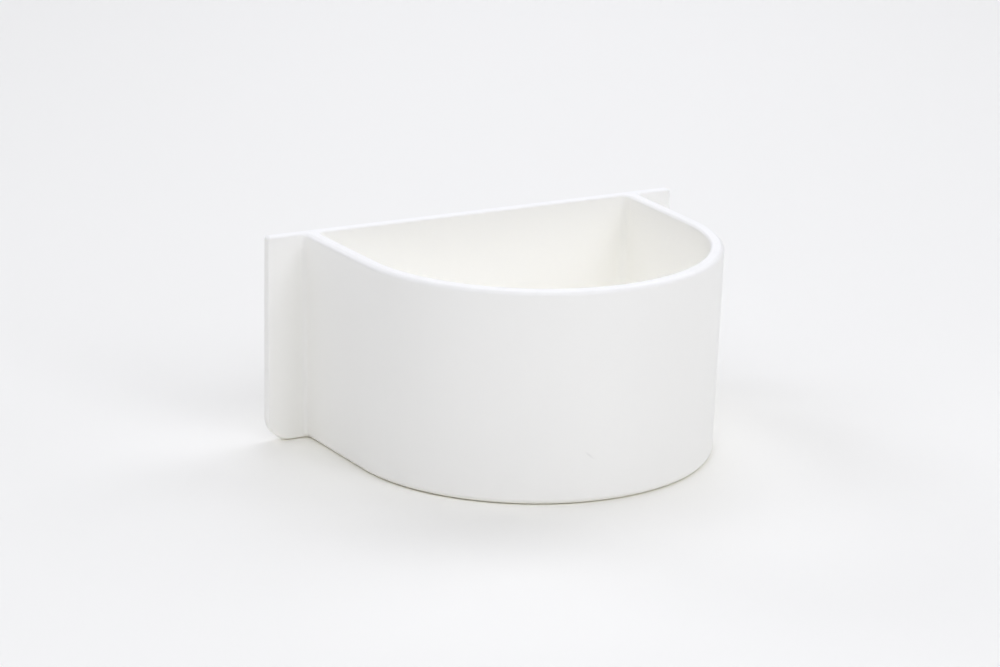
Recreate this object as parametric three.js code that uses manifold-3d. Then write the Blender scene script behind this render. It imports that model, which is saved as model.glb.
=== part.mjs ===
// Bird feeder cup for a cage: a half-round bowl on a flat back plate, whose two ends are
// the wings that drop into the guides of a cage front. It is moulded in one shot, and is
// cut here at its flat faces into floor, curved wall, back plate and two wings.
// Millimetres, +Z up, the bowl facing -Y, the origin under the middle of the cup.
import * as THREE from 'three';
import { mergeVertices } from 'three/addons/utils/BufferGeometryUtils.js';
import Module from 'manifold-3d';

const wasm = await Module();
wasm.setup();

// Bowl, measured outside and just below the rim
const BOWL_WIDTH = 74.4; // across the side walls, where they meet the plate
const SIDE_LENGTH = 23; // straight part of each side wall, from the plate to the round front
const SIDE_LEAN = THREE.MathUtils.degToRad(1.6); // side walls close in towards the front
const HEIGHT = 41;
const WALL = 2.7;
const FLOOR = 2.4;
const SIDE_DRAFT = THREE.MathUtils.degToRad(0.55); // taper towards the base, for the mould
const FRONT_DRAFT = THREE.MathUtils.degToRad(1.55);

// Plate and wings
const PLATE = 2.1;
const WING_REACH = 7.8; // each wing, past the outside of the side wall
const WING_LOW_CORNER = 5;
const WING_TOP_CORNER = 0.7;
const PLATE_EDGE = 0.5; // rounding of the plate's edges

// Roundings of the bowl
const RIM_OUTER_EDGE = 0.9;
const RIM_INNER_EDGE = 0.6;
const BASE_EDGE = 1.2;
const WING_FILLET = 1; // outside, between side wall and wing
const CORNER_FILLET = 1.5; // inside, upright corners between side wall and plate
const FLOOR_FILLET = 2.5; // inside, between floor and walls

// Finish
const WHITE = 0xfaf9f7;
const ROUGHNESS = 0.42;

// Facets
const FRONT_STEPS = 64;
const FILLET_STEPS = 5;
const EDGE_STEPS = 4;

// What follows from the sizes above
const CUT_MARGIN = 5; // how far a cutting body runs past what it cuts
const halfBowl = BOWL_WIDTH / 2;
const halfPlate = halfBowl + WING_REACH;
const frontRadius = (halfBowl - SIDE_LENGTH * Math.tan(SIDE_LEAN)) / Math.cos(SIDE_LEAN);
const bowlDepth = SIDE_LENGTH + frontRadius * (1 - Math.sin(SIDE_LEAN));
const wingStart = halfBowl + filletReach(WING_FILLET, 1);
const rimOuter = Math.min(RIM_OUTER_EDGE, WALL / 2);
const rimInner = Math.min(RIM_INNER_EDGE, WALL / 2);
const baseEdge = Math.min(BASE_EDGE, FLOOR);
const rimStart = HEIGHT - rimOuter;

// Points of an arc, turning the short way from one angle to the other.
function arc(x, y, radius, from, to, steps) {
  const curve = new THREE.EllipseCurve(x, y, radius, radius, from, to, to < from);
  return curve.getPoints(steps);
}

// How far a fillet's end on the plate lies from the wall's line: outwards for turn 1 and
// inwards for turn -1.
function filletReach(fillet, turn) {
  return (turn * fillet * (1 - turn * Math.sin(SIDE_LEAN))) / Math.cos(SIDE_LEAN);
}

// The bowl's line seen from above, from its left end on the plate's face round to the right.
// Each side leans in and runs tangent into the round front. At the plate a fillet turns it
// outwards (turn 1, the bowl's outside) or inwards (turn -1, its inside).
function bowlLine(halfWidth, depth, fillet, turn) {
  const sine = Math.sin(SIDE_LEAN);
  const cosine = Math.cos(SIDE_LEAN);
  const radius = (halfWidth * cosine - depth * sine) / (1 - sine);
  const filletX = halfWidth + filletReach(fillet, turn);
  const filletEnd = turn > 0 ? Math.PI - SIDE_LEAN : -SIDE_LEAN;
  const right = [
    ...arc(0, radius - depth, radius, -Math.PI / 2, -SIDE_LEAN, FRONT_STEPS / 2),
    ...arc(filletX, -fillet, fillet, filletEnd, Math.PI / 2, FILLET_STEPS),
  ];
  const left = right.slice(1).reverse().map((p) => new THREE.Vector2(-p.x, p.y));
  return [...left, ...right];
}

// The bowl's outside at a height, drawn in by the draft below the rim and by a rounding.
function outsideRing({ z, inset }) {
  const drop = Math.max(rimStart - z, 0);
  const halfWidth = halfBowl - drop * Math.tan(SIDE_DRAFT) - inset;
  const depth = bowlDepth - drop * Math.tan(FRONT_DRAFT) - inset;
  const line = bowlLine(halfWidth, depth, WING_FILLET, 1);
  return line.map((p) => new THREE.Vector3(p.x, p.y, z));
}

// The bowl's inside at a height, one wall further in. A rounding at the floor draws the
// back in too, and one at the rim opens only the walls, up to the plate's face.
function insideRing({ z, inset }) {
  const back = Math.max(inset, 0);
  const drop = Math.max(rimStart - z, 0);
  const lean = back * Math.tan(SIDE_LEAN);
  const halfWidth = halfBowl - drop * Math.tan(SIDE_DRAFT) - WALL - inset - lean;
  const depth = bowlDepth - drop * Math.tan(FRONT_DRAFT) - WALL - inset - back;
  const line = bowlLine(halfWidth, depth, CORNER_FILLET, -1);
  return line.map((p) => new THREE.Vector3(p.x, p.y - back, z));
}

// Quarter round as heights above its lower end, with how far each is drawn in.
function quarterRound(radius) {
  return Array.from({ length: EDGE_STEPS + 1 }, (_, step) => {
    const angle = (step / EDGE_STEPS) * (Math.PI / 2);
    return { rise: radius * (1 - Math.cos(angle)), inset: radius * (1 - Math.sin(angle)) };
  });
}

// Closed body through rings of equal count, lowest first, each running anticlockwise.
function loft(rings) {
  const count = rings[0].length;
  const positions = rings.flat().flatMap((p) => p.toArray());
  const triangles = [];
  for (let ring = 0; ring + 1 < rings.length; ring += 1) {
    for (let i = 0; i < count; i += 1) {
      const a = ring * count + i;
      const b = ring * count + ((i + 1) % count);
      triangles.push(a, b, b + count, a, b + count, a + count);
    }
  }
  const flat = (ring) => ring.map((p) => new THREE.Vector2(p.x, p.y));
  const top = (rings.length - 1) * count;
  for (const [a, b, c] of THREE.ShapeUtils.triangulateShape(flat(rings[0]), [])) {
    triangles.push(a, c, b);
  }
  for (const [a, b, c] of THREE.ShapeUtils.triangulateShape(flat(rings.at(-1)), [])) {
    triangles.push(top + a, top + b, top + c);
  }
  const geometry = new THREE.BufferGeometry();
  geometry.setAttribute('position', new THREE.Float32BufferAttribute(positions, 3));
  geometry.setIndex(triangles);
  return geometry;
}

function toSolid(geometry) {
  geometry.deleteAttribute('normal');
  geometry.deleteAttribute('uv');
  const merged = mergeVertices(geometry);
  const vertProperties = new Float32Array(merged.attributes.position.array);
  const triVerts = new Uint32Array(merged.index.array);
  return new wasm.Manifold(new wasm.Mesh({ numProp: 3, vertProperties, triVerts }));
}

function toGeometry(solid) {
  const mesh = solid.getMesh();
  const geometry = new THREE.BufferGeometry();
  geometry.setAttribute('position', new THREE.BufferAttribute(mesh.vertProperties, mesh.numProp));
  geometry.setIndex(new THREE.BufferAttribute(mesh.triVerts, 1));
  geometry.computeVertexNormals();
  return geometry;
}

// Floor of the bowl: the lowest slice of its outside, with the rounded edge it stands on.
function bowlFloor() {
  const edge = quarterRound(baseEdge).map(({ rise, inset }) => ({ z: rise, inset }));
  const levels = baseEdge < FLOOR ? [...edge, { z: FLOOR, inset: 0 }] : edge;
  const geometry = loft(levels.map(outsideRing));
  geometry.computeVertexNormals();
  return geometry;
}

// Curved wall of the bowl, standing on the floor: its outside less its inside, with a
// rounded rim, a fillet round the floor and fillets into the plate.
function bowlWall() {
  const rim = quarterRound(rimOuter).reverse();
  const lip = quarterRound(rimInner).reverse();
  const cove = quarterRound(FLOOR_FILLET);
  const outside = loft([
    outsideRing({ z: FLOOR, inset: 0 }),
    ...rim.map(({ rise, inset }) => outsideRing({ z: HEIGHT - rise, inset })),
  ]);
  const inside = loft([
    insideRing({ z: FLOOR - CUT_MARGIN, inset: FLOOR_FILLET }),
    ...cove.map(({ rise, inset }) => insideRing({ z: FLOOR + rise, inset })),
    ...lip.map(({ rise, inset }) => insideRing({ z: HEIGHT - rise, inset: -inset })),
    insideRing({ z: HEIGHT + CUT_MARGIN, inset: -rimInner }),
  ]);
  return toGeometry(toSolid(outside).subtract(toSolid(inside)));
}

// The whole flat slab behind the bowl, with its front face on y = 0.
function plateSlab() {
  const low = Math.min(WING_LOW_CORNER, WING_REACH);
  const top = WING_TOP_CORNER;
  const outline = new THREE.Shape();
  outline.absarc(halfPlate - low, low, low, -Math.PI / 2, 0);
  outline.absarc(halfPlate - top, HEIGHT - top, top, 0, Math.PI / 2);
  outline.absarc(top - halfPlate, HEIGHT - top, top, Math.PI / 2, Math.PI);
  outline.absarc(low - halfPlate, low, low, Math.PI, Math.PI * 1.5);
  const slab = new THREE.ExtrudeGeometry(outline, {
    depth: PLATE - 2 * PLATE_EDGE,
    bevelThickness: PLATE_EDGE,
    bevelSize: PLATE_EDGE,
    bevelOffset: -PLATE_EDGE,
    bevelSegments: EDGE_STEPS,
    curveSegments: FILLET_STEPS,
  });
  slab.translate(0, 0, PLATE_EDGE - PLATE);
  const standUp = new THREE.Matrix4().set(1, 0, 0, 0, 0, 0, -1, 0, 0, 1, 0, 0, 0, 0, 0, 1);
  return toSolid(slab.applyMatrix4(standUp));
}

// The space on one side (-1 left, 1 right) of the plate, out from the end of the fillet
// against the bowl's side wall, so that all of a wing's front face is free.
function wingSpace(side) {
  const width = halfPlate - wingStart + CUT_MARGIN;
  const box = new THREE.BoxGeometry(width, PLATE + 2 * CUT_MARGIN, HEIGHT + 2 * CUT_MARGIN);
  box.translate(side * (wingStart + width / 2), PLATE / 2, HEIGHT / 2);
  return toSolid(box);
}

function moulded(name, geometry) {
  const plastic = new THREE.MeshStandardMaterial({ color: WHITE, roughness: ROUGHNESS, metalness: 0 });
  const mesh = new THREE.Mesh(geometry, plastic);
  mesh.name = name;
  return mesh;
}

const cup = new THREE.Group();
cup.add(moulded('bowl_floor', bowlFloor()), moulded('bowl_wall', bowlWall()));

const slab = plateSlab();
let middle = slab;
for (const [name, side] of [['left_wing', -1], ['right_wing', 1]]) {
  const space = wingSpace(side);
  cup.add(moulded(name, toGeometry(slab.intersect(space))));
  middle = middle.subtract(space);
}
cup.add(moulded('back_plate', toGeometry(middle)));
cup.position.y = (bowlDepth - PLATE) / 2;

export default cup;
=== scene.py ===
"""Bird feeder cup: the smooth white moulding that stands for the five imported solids.

A half-round bowl grows out of a flat back plate, whose ends are two wings. Each piece is a
closed surface worked out here, and pieces meet edge on edge, so the cup reads as one
moulding. Metres, +Z up, the bowl facing -Y, the cup standing on z = 0.
"""

import math

import bmesh
import bpy
import numpy as np
from mathutils import Matrix, Vector


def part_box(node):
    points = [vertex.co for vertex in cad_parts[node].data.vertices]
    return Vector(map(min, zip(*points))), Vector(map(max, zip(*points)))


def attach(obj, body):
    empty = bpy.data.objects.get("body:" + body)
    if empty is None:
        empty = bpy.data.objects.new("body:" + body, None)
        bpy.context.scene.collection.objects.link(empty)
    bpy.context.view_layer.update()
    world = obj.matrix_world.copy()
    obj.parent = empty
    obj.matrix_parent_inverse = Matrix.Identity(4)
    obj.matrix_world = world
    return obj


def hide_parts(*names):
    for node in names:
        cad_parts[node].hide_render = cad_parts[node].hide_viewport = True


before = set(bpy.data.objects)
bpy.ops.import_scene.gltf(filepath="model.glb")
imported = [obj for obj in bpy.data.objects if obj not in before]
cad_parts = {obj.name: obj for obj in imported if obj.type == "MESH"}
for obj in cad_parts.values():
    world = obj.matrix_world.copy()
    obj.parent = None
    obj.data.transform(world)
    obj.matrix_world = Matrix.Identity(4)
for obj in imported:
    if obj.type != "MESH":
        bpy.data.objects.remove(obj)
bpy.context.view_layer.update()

MM = 0.001

# Tapers and roundings of the moulding
WALL = 2.7 * MM
SIDE_LEAN = math.radians(1.6)  # side walls close in towards the front
SIDE_DRAFT = math.radians(0.55)  # taper towards the base, for the mould
FRONT_DRAFT = math.radians(1.55)
RIM_OUTER_EDGE = 0.9 * MM
RIM_INNER_EDGE = 0.6 * MM
BASE_EDGE = 1.2 * MM
PLATE_EDGE = 0.5 * MM
WING_FILLET = 1.0 * MM  # outside, between side wall and plate
CORNER_FILLET = 1.5 * MM  # inside, upright corners between side wall and plate
FLOOR_FILLET = 2.5 * MM  # inside, between floor and walls
WING_LOW_CORNER = 5.0 * MM
WING_TOP_CORNER = 0.7 * MM

# Steps of the grids
FRONT_STEPS = 72  # half of the round front
SIDE_STEPS = 12
FILLET_STEPS = 16
EDGE_STEPS = 12
WALL_STEPS = 12
BACK_STEPS = 24
CORNER_STEPS = 24
SHARP_ANGLE = math.radians(40)
FLAT_WEIGHT = 100  # pull of large faces on the shading, so that flats look flat
WELD = 0.0005 * MM

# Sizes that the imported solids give
plate_low, plate_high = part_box("back_plate")
wing_low, wing_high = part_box("right_wing")
PLATE_FACE = plate_low.y
PLATE = plate_high.y - plate_low.y
HEIGHT = plate_high.z
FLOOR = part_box("bowl_floor")[1].z
HALF_PLATE = wing_high.x
WING_START = wing_low.x
BOWL_DEPTH = PLATE_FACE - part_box("bowl_wall")[0].y
RIM_START = HEIGHT - RIM_OUTER_EDGE


def fillet_reach(fillet, turn):
    """How far a fillet's end on the plate lies from the wall's line.

    The fillet is tangent to the plate's face and to a wall that leans by SIDE_LEAN; turn is
    1 where it lies outside the bowl and -1 where it lies inside.
    """
    return turn * fillet * (1 - turn * math.sin(SIDE_LEAN)) / math.cos(SIDE_LEAN)


HALF_BOWL = WING_START - fillet_reach(WING_FILLET, 1)


def bowl_line(half_width, depth, fillet, turn):
    """Right half of the bowl's line seen from above: x, y and its normal, away from the middle.

    It is an arc round the front, with its centre on the middle plane, then a straight side
    tangent to it that leans by SIDE_LEAN, then a fillet arc tangent to that side and to the
    plate's face y = 0. half_width at the plate and depth to the front have one value for
    each row and column.
    """
    sine, cosine = math.sin(SIDE_LEAN), math.cos(SIDE_LEAN)
    front = np.linspace(-math.pi / 2, -SIDE_LEAN, FRONT_STEPS + 1)
    share = np.linspace(0, 1, SIDE_STEPS + 1)[1:-1]
    first_bend = math.pi - SIDE_LEAN if turn > 0 else -SIDE_LEAN
    bend = np.linspace(first_bend, math.pi / 2, FILLET_STEPS + 1)
    side_from, bend_from = front.size, front.size + share.size

    radius = (half_width * cosine - depth * sine) / (1 - sine)
    centre_x = half_width + fillet_reach(fillet, turn)
    start_x = radius * cosine
    start_y = radius - depth - radius * sine
    run_x = centre_x + fillet * math.cos(first_bend) - start_x
    run_y = fillet * (math.sin(first_bend) - 1) - start_y

    x = np.empty_like(half_width)
    y = np.empty_like(half_width)
    on_front = np.s_[:, :side_from]
    on_side = np.s_[:, side_from:bend_from]
    on_bend = np.s_[:, bend_from:]
    x[on_front] = radius[on_front] * np.cos(front)
    y[on_front] = (radius - depth)[on_front] + radius[on_front] * np.sin(front)
    x[on_side] = start_x[on_side] + share * run_x[on_side]
    y[on_side] = start_y[on_side] + share * run_y[on_side]
    x[on_bend] = centre_x[on_bend] + fillet * np.cos(bend)
    y[on_bend] = fillet * (np.sin(bend) - 1)
    normal_x = np.concatenate([np.cos(front), np.full(share.size, cosine), -turn * np.cos(bend)])
    normal_y = np.concatenate([np.sin(front), np.full(share.size, -sine), -turn * np.sin(bend)])
    return x, y, normal_x, normal_y


def both_halves(x, y, z):
    """Points of a whole grid, rows by columns, from its right half: the left half mirrors it."""
    x = np.concatenate([-x[:, :0:-1], x], axis=1)
    y = np.concatenate([y[:, :0:-1], y], axis=1)
    z = np.concatenate([z[:, :0:-1], z], axis=1)
    return np.stack([x, PLATE_FACE + y, z], axis=-1)


def outside(z, inset):
    """Outer skin of the bowl at heights z: the drafted line, moved in along its normal by inset."""
    drop = np.maximum(RIM_START - z, 0)
    half_width = HALF_BOWL - drop * math.tan(SIDE_DRAFT)
    depth = BOWL_DEPTH - drop * math.tan(FRONT_DRAFT)
    x, y, normal_x, normal_y = bowl_line(half_width, depth, WING_FILLET, 1)
    return both_halves(x - inset * normal_x, y - inset * normal_y, z)


def inside(z, opened, drawn_in):
    """Inner skin at heights z: the drafted line one wall in, rounded at the rim and the floor.

    At the rim it is moved out along its normal by opened. At the floor the walls and the
    back all come in by drawn_in, and the upright corners keep their fillet.
    """
    drop = np.maximum(RIM_START - z, 0)
    half_width = HALF_BOWL - WALL - drop * math.tan(SIDE_DRAFT) - drawn_in * (1 + math.tan(SIDE_LEAN))
    depth = BOWL_DEPTH - drop * math.tan(FRONT_DRAFT) - WALL - 2 * drawn_in
    x, y, normal_x, normal_y = bowl_line(half_width, depth, CORNER_FILLET, -1)
    return both_halves(x + opened * normal_x, y - drawn_in + opened * normal_y, z)


def edge_along(bowl_edge):
    """Radius of an edge rounding at each column: the bowl's own, then a smooth step to the plate's.

    The step runs along the fillet between them.
    """
    plain = np.zeros(FRONT_STEPS + SIDE_STEPS)
    share = np.linspace(0, 1, FILLET_STEPS + 1)
    ease = np.concatenate([plain, share * share * (3 - 2 * share)])
    return bowl_edge + (PLATE_EDGE - bowl_edge) * ease


def quarter():
    """Angles of a quarter round, as a column, from its start to its end."""
    return np.linspace(0, math.pi / 2, EDGE_STEPS + 1)[:, None]


def between(steps):
    """Shares of a straight run, as a column, without its two ends."""
    return np.linspace(0, 1, steps + 1)[1:-1, None]


def grid_quads(rows, columns, first=0):
    """Corner numbers of every quad of a grid whose points are numbered row by row."""
    number = first + np.arange(rows * columns).reshape(rows, columns)
    corners = [number[:-1, :-1], number[:-1, 1:], number[1:, 1:], number[1:, :-1]]
    return np.stack(corners, axis=-1).reshape(-1, 4)


def closed_piece(name, points, quads, caps, finish):
    """A closed mesh from points, quads and flat many-sided caps, riding on the cup's body."""
    mesh = bpy.data.meshes.new(name)
    faces = quads.tolist() + [np.asarray(cap).tolist() for cap in caps]
    mesh.from_pydata(points.reshape(-1, 3).tolist(), [], faces)
    work = bmesh.new()
    work.from_mesh(mesh)
    bmesh.ops.remove_doubles(work, verts=work.verts, dist=WELD)
    bmesh.ops.recalc_face_normals(work, faces=work.faces)
    if work.calc_volume(signed=True) < 0:
        bmesh.ops.reverse_faces(work, faces=work.faces)
    work.to_mesh(mesh)
    work.free()
    mesh.shade_smooth()
    mesh.set_sharp_from_angle(angle=SHARP_ANGLE)
    mesh.materials.append(finish)
    piece = bpy.data.objects.new(name + "_moulding", mesh)
    bpy.context.scene.collection.objects.link(piece)
    even = piece.modifiers.new("flats_stay_flat", "WEIGHTED_NORMAL")
    even.mode = "FACE_AREA"
    even.weight = FLAT_WEIGHT
    even.keep_sharp = True
    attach(piece, "root")
    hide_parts(name)


def bowl_floor(finish):
    """Floor of the bowl: a quarter round up from the base, then the drafted outside.

    Rows run up the outside and columns along the bowl's line; the flat underside, the flat
    top and the back against the plate close it.
    """
    edge = edge_along(BASE_EDGE)
    turn = quarter()
    rounding = edge * (1 - np.cos(turn)), edge * (1 - np.sin(turn))
    z = np.concatenate([rounding[0], np.full_like(rounding[0][:1], FLOOR)])
    inset = np.concatenate([rounding[1], np.zeros_like(rounding[1][:1])])
    points = outside(z, inset)
    rows, columns = points.shape[:2]
    number = np.arange(rows * columns).reshape(rows, columns)
    back = np.concatenate([number[:, -1], number[::-1, 0]])
    caps = [number[0], number[-1], back]
    closed_piece("bowl_floor", points, grid_quads(rows, columns), caps, finish)


def bowl_wall(finish):
    """Curved wall of the bowl, as its section carried along the bowl's line.

    Rows follow the section: up the drafted outside, over a quarter round, across the flat
    rim, down a quarter round and the inside, and round the fillet to the floor. A strip
    carries that fillet along the back, and flat caps close the seats on floor and plate.
    """
    outer, inner = edge_along(RIM_OUTER_EDGE), edge_along(RIM_INNER_EDGE)
    turn = quarter()
    low = np.full_like(outer, FLOOR)[None]
    rise = FLOOR + between(WALL_STEPS) * (HEIGHT - outer - FLOOR)
    z = np.concatenate([low, rise, HEIGHT - outer * (1 - np.sin(turn))])
    inset = np.concatenate([np.zeros_like(low), np.zeros_like(rise), outer * (1 - np.cos(turn))])
    outer_rows = outside(z, inset)

    cove_top = FLOOR + FLOOR_FILLET
    lip_z = HEIGHT - inner * (1 - np.sin(turn[::-1]))
    fall = HEIGHT - inner + between(WALL_STEPS) * (cove_top - HEIGHT + inner)
    cove_z = FLOOR + FLOOR_FILLET * (1 - np.sin(turn)) + np.zeros_like(inner)
    z = np.concatenate([lip_z, fall, cove_z])
    opened = np.zeros_like(z)
    opened[: turn.size] = inner * (1 - np.cos(turn[::-1]))
    drawn_in = np.zeros_like(z)
    drawn_in[-turn.size :] = FLOOR_FILLET * (1 - np.cos(turn))
    inner_rows = inside(z, opened, drawn_in)

    points = np.concatenate([outer_rows, inner_rows])
    rows, columns = points.shape[:2]
    number = np.arange(rows * columns).reshape(rows, columns)
    cove_from = rows - turn.size
    strip = np.linspace(points[cove_from:, 0], points[cove_from:, -1], BACK_STEPS + 1, axis=1)
    strip_number = number.size + np.arange(strip.shape[0] * strip.shape[1]).reshape(strip.shape[:2])
    seat = np.stack([number[-1, :-1], number[-1, 1:], number[0, 1:], number[0, :-1]], axis=-1)
    quads = np.concatenate([
        grid_quads(rows, columns),
        grid_quads(*strip.shape[:2], first=number.size),
        seat,
    ])
    seat_corners = [number[0, 0], number[0, -1], number[-1, -1]]
    seat_back = [seat_corners, strip_number[-1, -2:0:-1], [number[-1, 0]]]
    plate_seat = [number[: cove_from + 1, -1], strip_number[0, -2:0:-1], number[cove_from::-1, 0]]
    caps = [np.concatenate(seat_back), np.concatenate(plate_seat)]
    points = np.concatenate([points.reshape(-1, 3), strip.reshape(-1, 3)])
    closed_piece("bowl_wall", points, quads, caps, finish)


def slab_section():
    """Half section of the slab's edge: how far in from its outline, and how far behind its face.

    A quarter round from the front face to the edge, then one from the edge to the rear face.
    """
    turn = quarter()[:, 0]
    inset = PLATE_EDGE * (1 - np.sin(turn))
    behind = PLATE_EDGE * (1 - np.cos(turn))
    return np.concatenate([inset, inset[::-1]]), np.concatenate([behind, PLATE - behind[::-1]])


def back_plate(finish):
    """Middle of the slab: its rounded section carried straight across from wing to wing."""
    inset, behind = slab_section()
    z = np.concatenate([HEIGHT - inset, inset[::-1]])
    y = PLATE_FACE + np.concatenate([behind, behind[::-1]])
    x = np.array([-WING_START, WING_START])
    section = np.stack([np.zeros_like(y), y, z], axis=-1)
    points = section[None] + x[:, None, None] * np.array([1.0, 0.0, 0.0])
    columns = section.shape[0]
    number = np.arange(2 * columns).reshape(2, columns)
    closing = [[number[0, -1], number[0, 0], number[1, 0], number[1, -1]]]
    quads = np.concatenate([grid_quads(2, columns), closing])
    closed_piece("back_plate", points, quads, [number[0], number[1]], finish)


def wing(name, side, finish):
    """One end of the slab: its edge section carried along the wing's open outline.

    The outline runs out along the bottom, round a large lower corner, up the end, round a
    small top corner and back along the top; its inner ends lie on the plate.
    """
    low = np.linspace(-math.pi / 2, 0, CORNER_STEPS + 1)
    top = np.linspace(0, math.pi / 2, EDGE_STEPS + 1)
    normal = np.concatenate([[-math.pi / 2], low, top, [math.pi / 2]])
    x = np.concatenate([
        [WING_START],
        HALF_PLATE - WING_LOW_CORNER + WING_LOW_CORNER * np.cos(low),
        HALF_PLATE - WING_TOP_CORNER + WING_TOP_CORNER * np.cos(top),
        [WING_START],
    ])
    z = np.concatenate([
        [0.0],
        WING_LOW_CORNER + WING_LOW_CORNER * np.sin(low),
        HEIGHT - WING_TOP_CORNER + WING_TOP_CORNER * np.sin(top),
        [HEIGHT],
    ])
    inset, behind = slab_section()
    along_x = x - inset[:, None] * np.cos(normal)
    along_z = z - inset[:, None] * np.sin(normal)
    y = PLATE_FACE + np.broadcast_to(behind[:, None], along_x.shape)
    points = np.stack([side * along_x, y, along_z], axis=-1)
    rows, columns = points.shape[:2]
    number = np.arange(rows * columns).reshape(rows, columns)
    seat = np.concatenate([number[:, 0], number[::-1, -1]])
    caps = [number[0], number[-1], seat]
    closed_piece(name, points, grid_quads(rows, columns), caps, finish)


# Finish of the plastic
WHITE = (0.962, 0.953, 0.907, 1)
UNEVEN_WHITE = (0.951, 0.942, 0.897, 1)  # where the resin flowed less evenly
RUBBED_WHITE = (0.934, 0.925, 0.880, 1)
SCUFF_GREY = (0.52, 0.51, 0.50, 1)
PLASTIC_IOR = 1.49
SATIN = 0.38, 0.47  # roughness, least and most
CLOUDS = 24  # broad clouds of the resin in a metre
CLOUD_DETAIL, WAVE_DETAIL, RUB_DETAIL = 2, 1, 4  # finer layers of noise in each pattern
CLOUD_EDGES = 0.3, 0.7  # noise where a cloud starts, and where it is full
STREAKS = 420, 420, 14  # streaks in a metre, along x, y and the mould's draw
EQUAL_SHARE = 0.5  # clouds and streaks count alike in the colour
RUB_REACH = 1.6 * MM  # how far rubbing reaches from the rim and the base
RUB_PATCHES = 320  # rubbed patches in a metre
RUB_EDGES = 0.5, 0.72  # noise where a patch starts, and where it is full
RUB_POLISH = 0.06  # how much roughness it takes away
GRAIN = 2600  # grains of the mould's surface in a metre
GRAIN_DEPTH = 0.006 * MM
WAVES = 40  # slow waves of the walls in a metre
WAVE_DEPTH = 0.06 * MM
SCUFF_MIDDLE = -7.1 * MM, -28.8 * MM, 9.4 * MM
SCUFF_SLANT = math.radians(41)
SCUFF_SIZE = 1.6 * MM, 1.5 * MM, 0.3 * MM  # half lengths along it, into the wall and across it
SCUFF_STRENGTH = 0.2


def add_node(tree, kind, inputs, **settings):
    """A shader node with its settings, and with a value or a link in each named input."""
    made = tree.nodes.new("ShaderNode" + kind)
    for key, value in settings.items():
        setattr(made, key, value)
    for key, value in inputs.items():
        if isinstance(value, bpy.types.NodeSocket):
            tree.links.new(value, made.inputs[key])
        else:
            made.inputs[key].default_value = value
    return made


def clouds(tree, place, scale, detail=CLOUD_DETAIL):
    """Soft noise about 0.5 at so many blotches in a metre."""
    inputs = {"Vector": place, "Scale": scale, "Detail": detail}
    return add_node(tree, "TexNoise", inputs).outputs["Fac"]


def ramp(tree, value, start, end, low=0.0, high=1.0):
    """A smooth step from low at start to high at end."""
    limits = {"Value": value, "From Min": start, "From Max": end, "To Min": low, "To Max": high}
    return add_node(tree, "MapRange", limits, interpolation_type="SMOOTHSTEP").outputs["Result"]


def arithmetic(tree, operation, *values):
    """One number from two or three by the named operation."""
    return add_node(tree, "Math", dict(enumerate(values)), operation=operation).outputs["Value"]


MIX_AMOUNT, MIX_UNDER, MIX_OVER = 0, 6, 7  # inputs of a Mix node that carry its colours
MIX_RESULT = 2


def tint(tree, amount, under, over):
    """One colour laid over another by an amount from 0 to 1."""
    inputs = {MIX_AMOUNT: amount, MIX_UNDER: under, MIX_OVER: over}
    return add_node(tree, "Mix", inputs, data_type="RGBA").outputs[MIX_RESULT]


def white_plastic():
    """Satin white moulded plastic.

    Colour is two near whites mixed by broad clouds and by streaks along the mould's draw; it
    greys in small patches where the rim and the base rub, and in one short scuff in front.
    Roughness is satin in broad clouds, and smoother where it rubs. Relief is the fine grain
    of the mould on a slow waviness of the walls.
    """
    finish = bpy.data.materials.new("satin_white_plastic")
    finish.use_nodes = True
    tree = finish.node_tree
    place = add_node(tree, "TexCoord", {}).outputs["Object"]
    broad = clouds(tree, place, CLOUDS)
    drawn = add_node(tree, "Mapping", {"Vector": place, "Scale": STREAKS}).outputs["Vector"]
    streaks = clouds(tree, drawn, 1)
    both = arithmetic(tree, "ADD", broad, streaks)
    uneven = arithmetic(tree, "MULTIPLY", both, EQUAL_SHARE)

    height = add_node(tree, "SeparateXYZ", {"Vector": place}).outputs["Z"]
    near_rim = ramp(tree, height, HEIGHT - RUB_REACH, HEIGHT)
    near_base = ramp(tree, height, RUB_REACH, 0.0)
    patches = ramp(tree, clouds(tree, place, RUB_PATCHES, RUB_DETAIL), *RUB_EDGES)
    near_edge = arithmetic(tree, "MAXIMUM", near_rim, near_base)
    rubbed = arithmetic(tree, "MULTIPLY", near_edge, patches)

    scuff_frame = {
        "Vector": place,
        "Location": SCUFF_MIDDLE,
        "Rotation": (0, SCUFF_SLANT, 0),
        "Scale": SCUFF_SIZE,
    }
    on_scuff = add_node(tree, "Mapping", scuff_frame, vector_type="TEXTURE").outputs["Vector"]
    from_scuff = add_node(tree, "VectorMath", {0: on_scuff}, operation="LENGTH").outputs["Value"]
    scuff = ramp(tree, from_scuff, 1.0, 0.0, 0.0, SCUFF_STRENGTH)

    colour = tint(tree, uneven, WHITE, UNEVEN_WHITE)
    colour = tint(tree, rubbed, colour, RUBBED_WHITE)
    colour = tint(tree, scuff, colour, SCUFF_GREY)
    satin = ramp(tree, broad, *CLOUD_EDGES, *SATIN)
    roughness = arithmetic(tree, "MULTIPLY_ADD", rubbed, -RUB_POLISH, satin)

    waves = {"Height": clouds(tree, place, WAVES, WAVE_DETAIL), "Distance": WAVE_DEPTH}
    wavy = add_node(tree, "Bump", waves).outputs["Normal"]
    grain = {"Height": clouds(tree, place, GRAIN), "Distance": GRAIN_DEPTH, "Normal": wavy}
    relief = add_node(tree, "Bump", grain).outputs["Normal"]

    shader = tree.nodes["Principled BSDF"]
    shader.inputs["IOR"].default_value = PLASTIC_IOR
    tree.links.new(colour, shader.inputs["Base Color"])
    tree.links.new(roughness, shader.inputs["Roughness"])
    tree.links.new(relief, shader.inputs["Normal"])
    return finish


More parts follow.
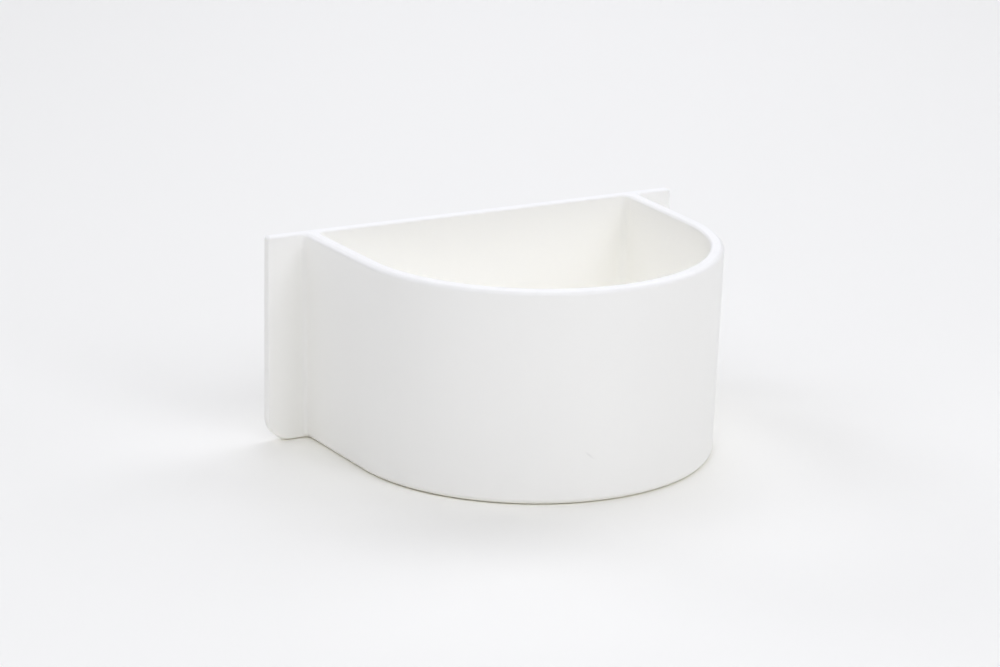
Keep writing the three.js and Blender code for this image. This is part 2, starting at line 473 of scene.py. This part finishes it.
# Floor that the cup stands on
FLOOR_REACH = 4.0
FLOOR_LEVEL = -0.15 * MM
FLOOR_COLOUR = (0.900, 0.889, 0.830, 1)
FLOOR_ROUGHNESS = 0.6


def pale_floor():
    """A wide, plain pale floor just under the cup."""
    mesh = bpy.data.meshes.new("pale_floor")
    low, high = -FLOOR_REACH, FLOOR_REACH
    corners = [(x, y, FLOOR_LEVEL) for x, y in ((low, low), (high, low), (high, high), (low, high))]
    mesh.from_pydata(corners, [], [(0, 1, 2, 3)])
    floor = bpy.data.objects.new("pale_floor", mesh)
    finish = bpy.data.materials.new("pale_floor")
    finish.use_nodes = True
    shader = finish.node_tree.nodes["Principled BSDF"]
    shader.inputs["Base Color"].default_value = FLOOR_COLOUR
    shader.inputs["Roughness"].default_value = FLOOR_ROUGHNESS
    mesh.materials.append(finish)
    bpy.context.scene.collection.objects.link(floor)


# Camera of the photograph, found from the cup's edges in it
PICTURE_WIDTH = 1000  # pixels
FOCAL_PIXELS = 3257.36
SENSOR = 36.0  # millimetres across
CAMERA_TURN = math.radians(-29.682)
CAMERA_RISE = math.radians(16.722)
CAMERA_ROLL = math.radians(1.258)
CAMERA_DISTANCE = 648.27 * MM
CAMERA_REACH = 0.01, 100  # metres, nearest and farthest that it sees
AIM = Vector((5.962 * MM, PLATE_FACE, 15.486 * MM))


def direction(turn, rise):
    """Direction out from the cup, turned round z from the bowl's front and raised from the floor."""
    level = math.cos(rise)
    return Vector((math.sin(turn) * level, -math.cos(turn) * level, math.sin(rise)))


def photo_camera():
    """Camera on a sphere round its aim, turned, raised and rolled as the photograph's."""
    back = direction(CAMERA_TURN, CAMERA_RISE)
    level = Vector((math.cos(CAMERA_TURN), math.sin(CAMERA_TURN), 0))
    upright = back.cross(level)
    right = math.cos(CAMERA_ROLL) * level + math.sin(CAMERA_ROLL) * upright
    up = math.cos(CAMERA_ROLL) * upright - math.sin(CAMERA_ROLL) * level
    data = bpy.data.cameras.new("photo_camera")
    data.sensor_width = SENSOR
    data.lens = FOCAL_PIXELS / PICTURE_WIDTH * SENSOR
    data.clip_start, data.clip_end = CAMERA_REACH
    camera = bpy.data.objects.new("photo_camera", data)
    turn = Matrix((right, up, back)).transposed().to_4x4()
    camera.matrix_world = Matrix.Translation(AIM + CAMERA_DISTANCE * back) @ turn
    bpy.context.scene.collection.objects.link(camera)
    bpy.context.scene.camera = camera


# Soft lights round the cup: turn from the camera's own direction and rise in degrees, width in
# metres, power in watts
LIGHT_DISTANCE = 1.3
SOFT_LIGHTS = {
    "front": (0, 45, 0.7, 4.3),
    "front_right_low": (45, 25, 0.4, 2.0),
    "front_right": (45, 45, 0.7, 3.3),
    "right_low": (90, 25, 0.4, 1.25),
    "back_right_low": (135, 25, 0.4, 1.15),
    "back_right": (135, 45, 0.7, 3.25),
    "back_low": (180, 15, 0.4, 0.6),
    "back": (180, 50, 0.7, 2.15),
    "back_high": (180, 65, 0.7, 2.8),
    "back_left_low": (225, 25, 0.4, 2.35),
    "left": (270, 45, 0.7, 3.15),
    "front_left_low": (315, 25, 0.4, 0.5),
    "front_left": (315, 45, 0.7, 2.2),
}
LIGHT_COLOUR = 0.977, 0.990, 1.074  # a little cool, as daylight
ROOM_WHITE = (1, 1, 1, 1)
DIFFUSE_BOUNCES, ALL_BOUNCES = 16, 20  # enough for light to fill the bowl


def soft_light(name, turn, rise, width, power):
    """A square soft light on a sphere round the cup, facing it."""
    turn, rise = CAMERA_TURN + math.radians(turn), math.radians(rise)
    away = direction(turn, rise)
    data = bpy.data.lights.new(name, "AREA")
    data.size = width
    data.energy = power
    data.color = LIGHT_COLOUR
    light = bpy.data.objects.new(name, data)
    facing = away.to_track_quat("Z", "Y").to_matrix().to_4x4()
    light.matrix_world = Matrix.Translation(LIGHT_DISTANCE * away) @ facing
    light.visible_camera = False
    bpy.context.scene.collection.objects.link(light)


def studio():
    """Soft lights all round, in a white room that is seen but gives no light of its own."""
    scene = bpy.context.scene
    scene.view_settings.view_transform = "Standard"
    scene.cycles.diffuse_bounces = DIFFUSE_BOUNCES
    scene.cycles.max_bounces = ALL_BOUNCES
    world = bpy.data.worlds.new("white_room")
    world.use_nodes = True
    tree = world.node_tree
    room = tree.nodes["Background"]
    room.inputs["Color"].default_value = ROOM_WHITE
    seen = add_node(tree, "LightPath", {}).outputs["Is Camera Ray"]
    tree.links.new(seen, room.inputs["Strength"])
    scene.world = world
    for name, settings in SOFT_LIGHTS.items():
        soft_light(name, *settings)


photo_camera()
plastic = white_plastic()
bowl_floor(plastic)
bowl_wall(plastic)
back_plate(plastic)
wing("left_wing", -1, plastic)
wing("right_wing", 1, plastic)
pale_floor()
studio()
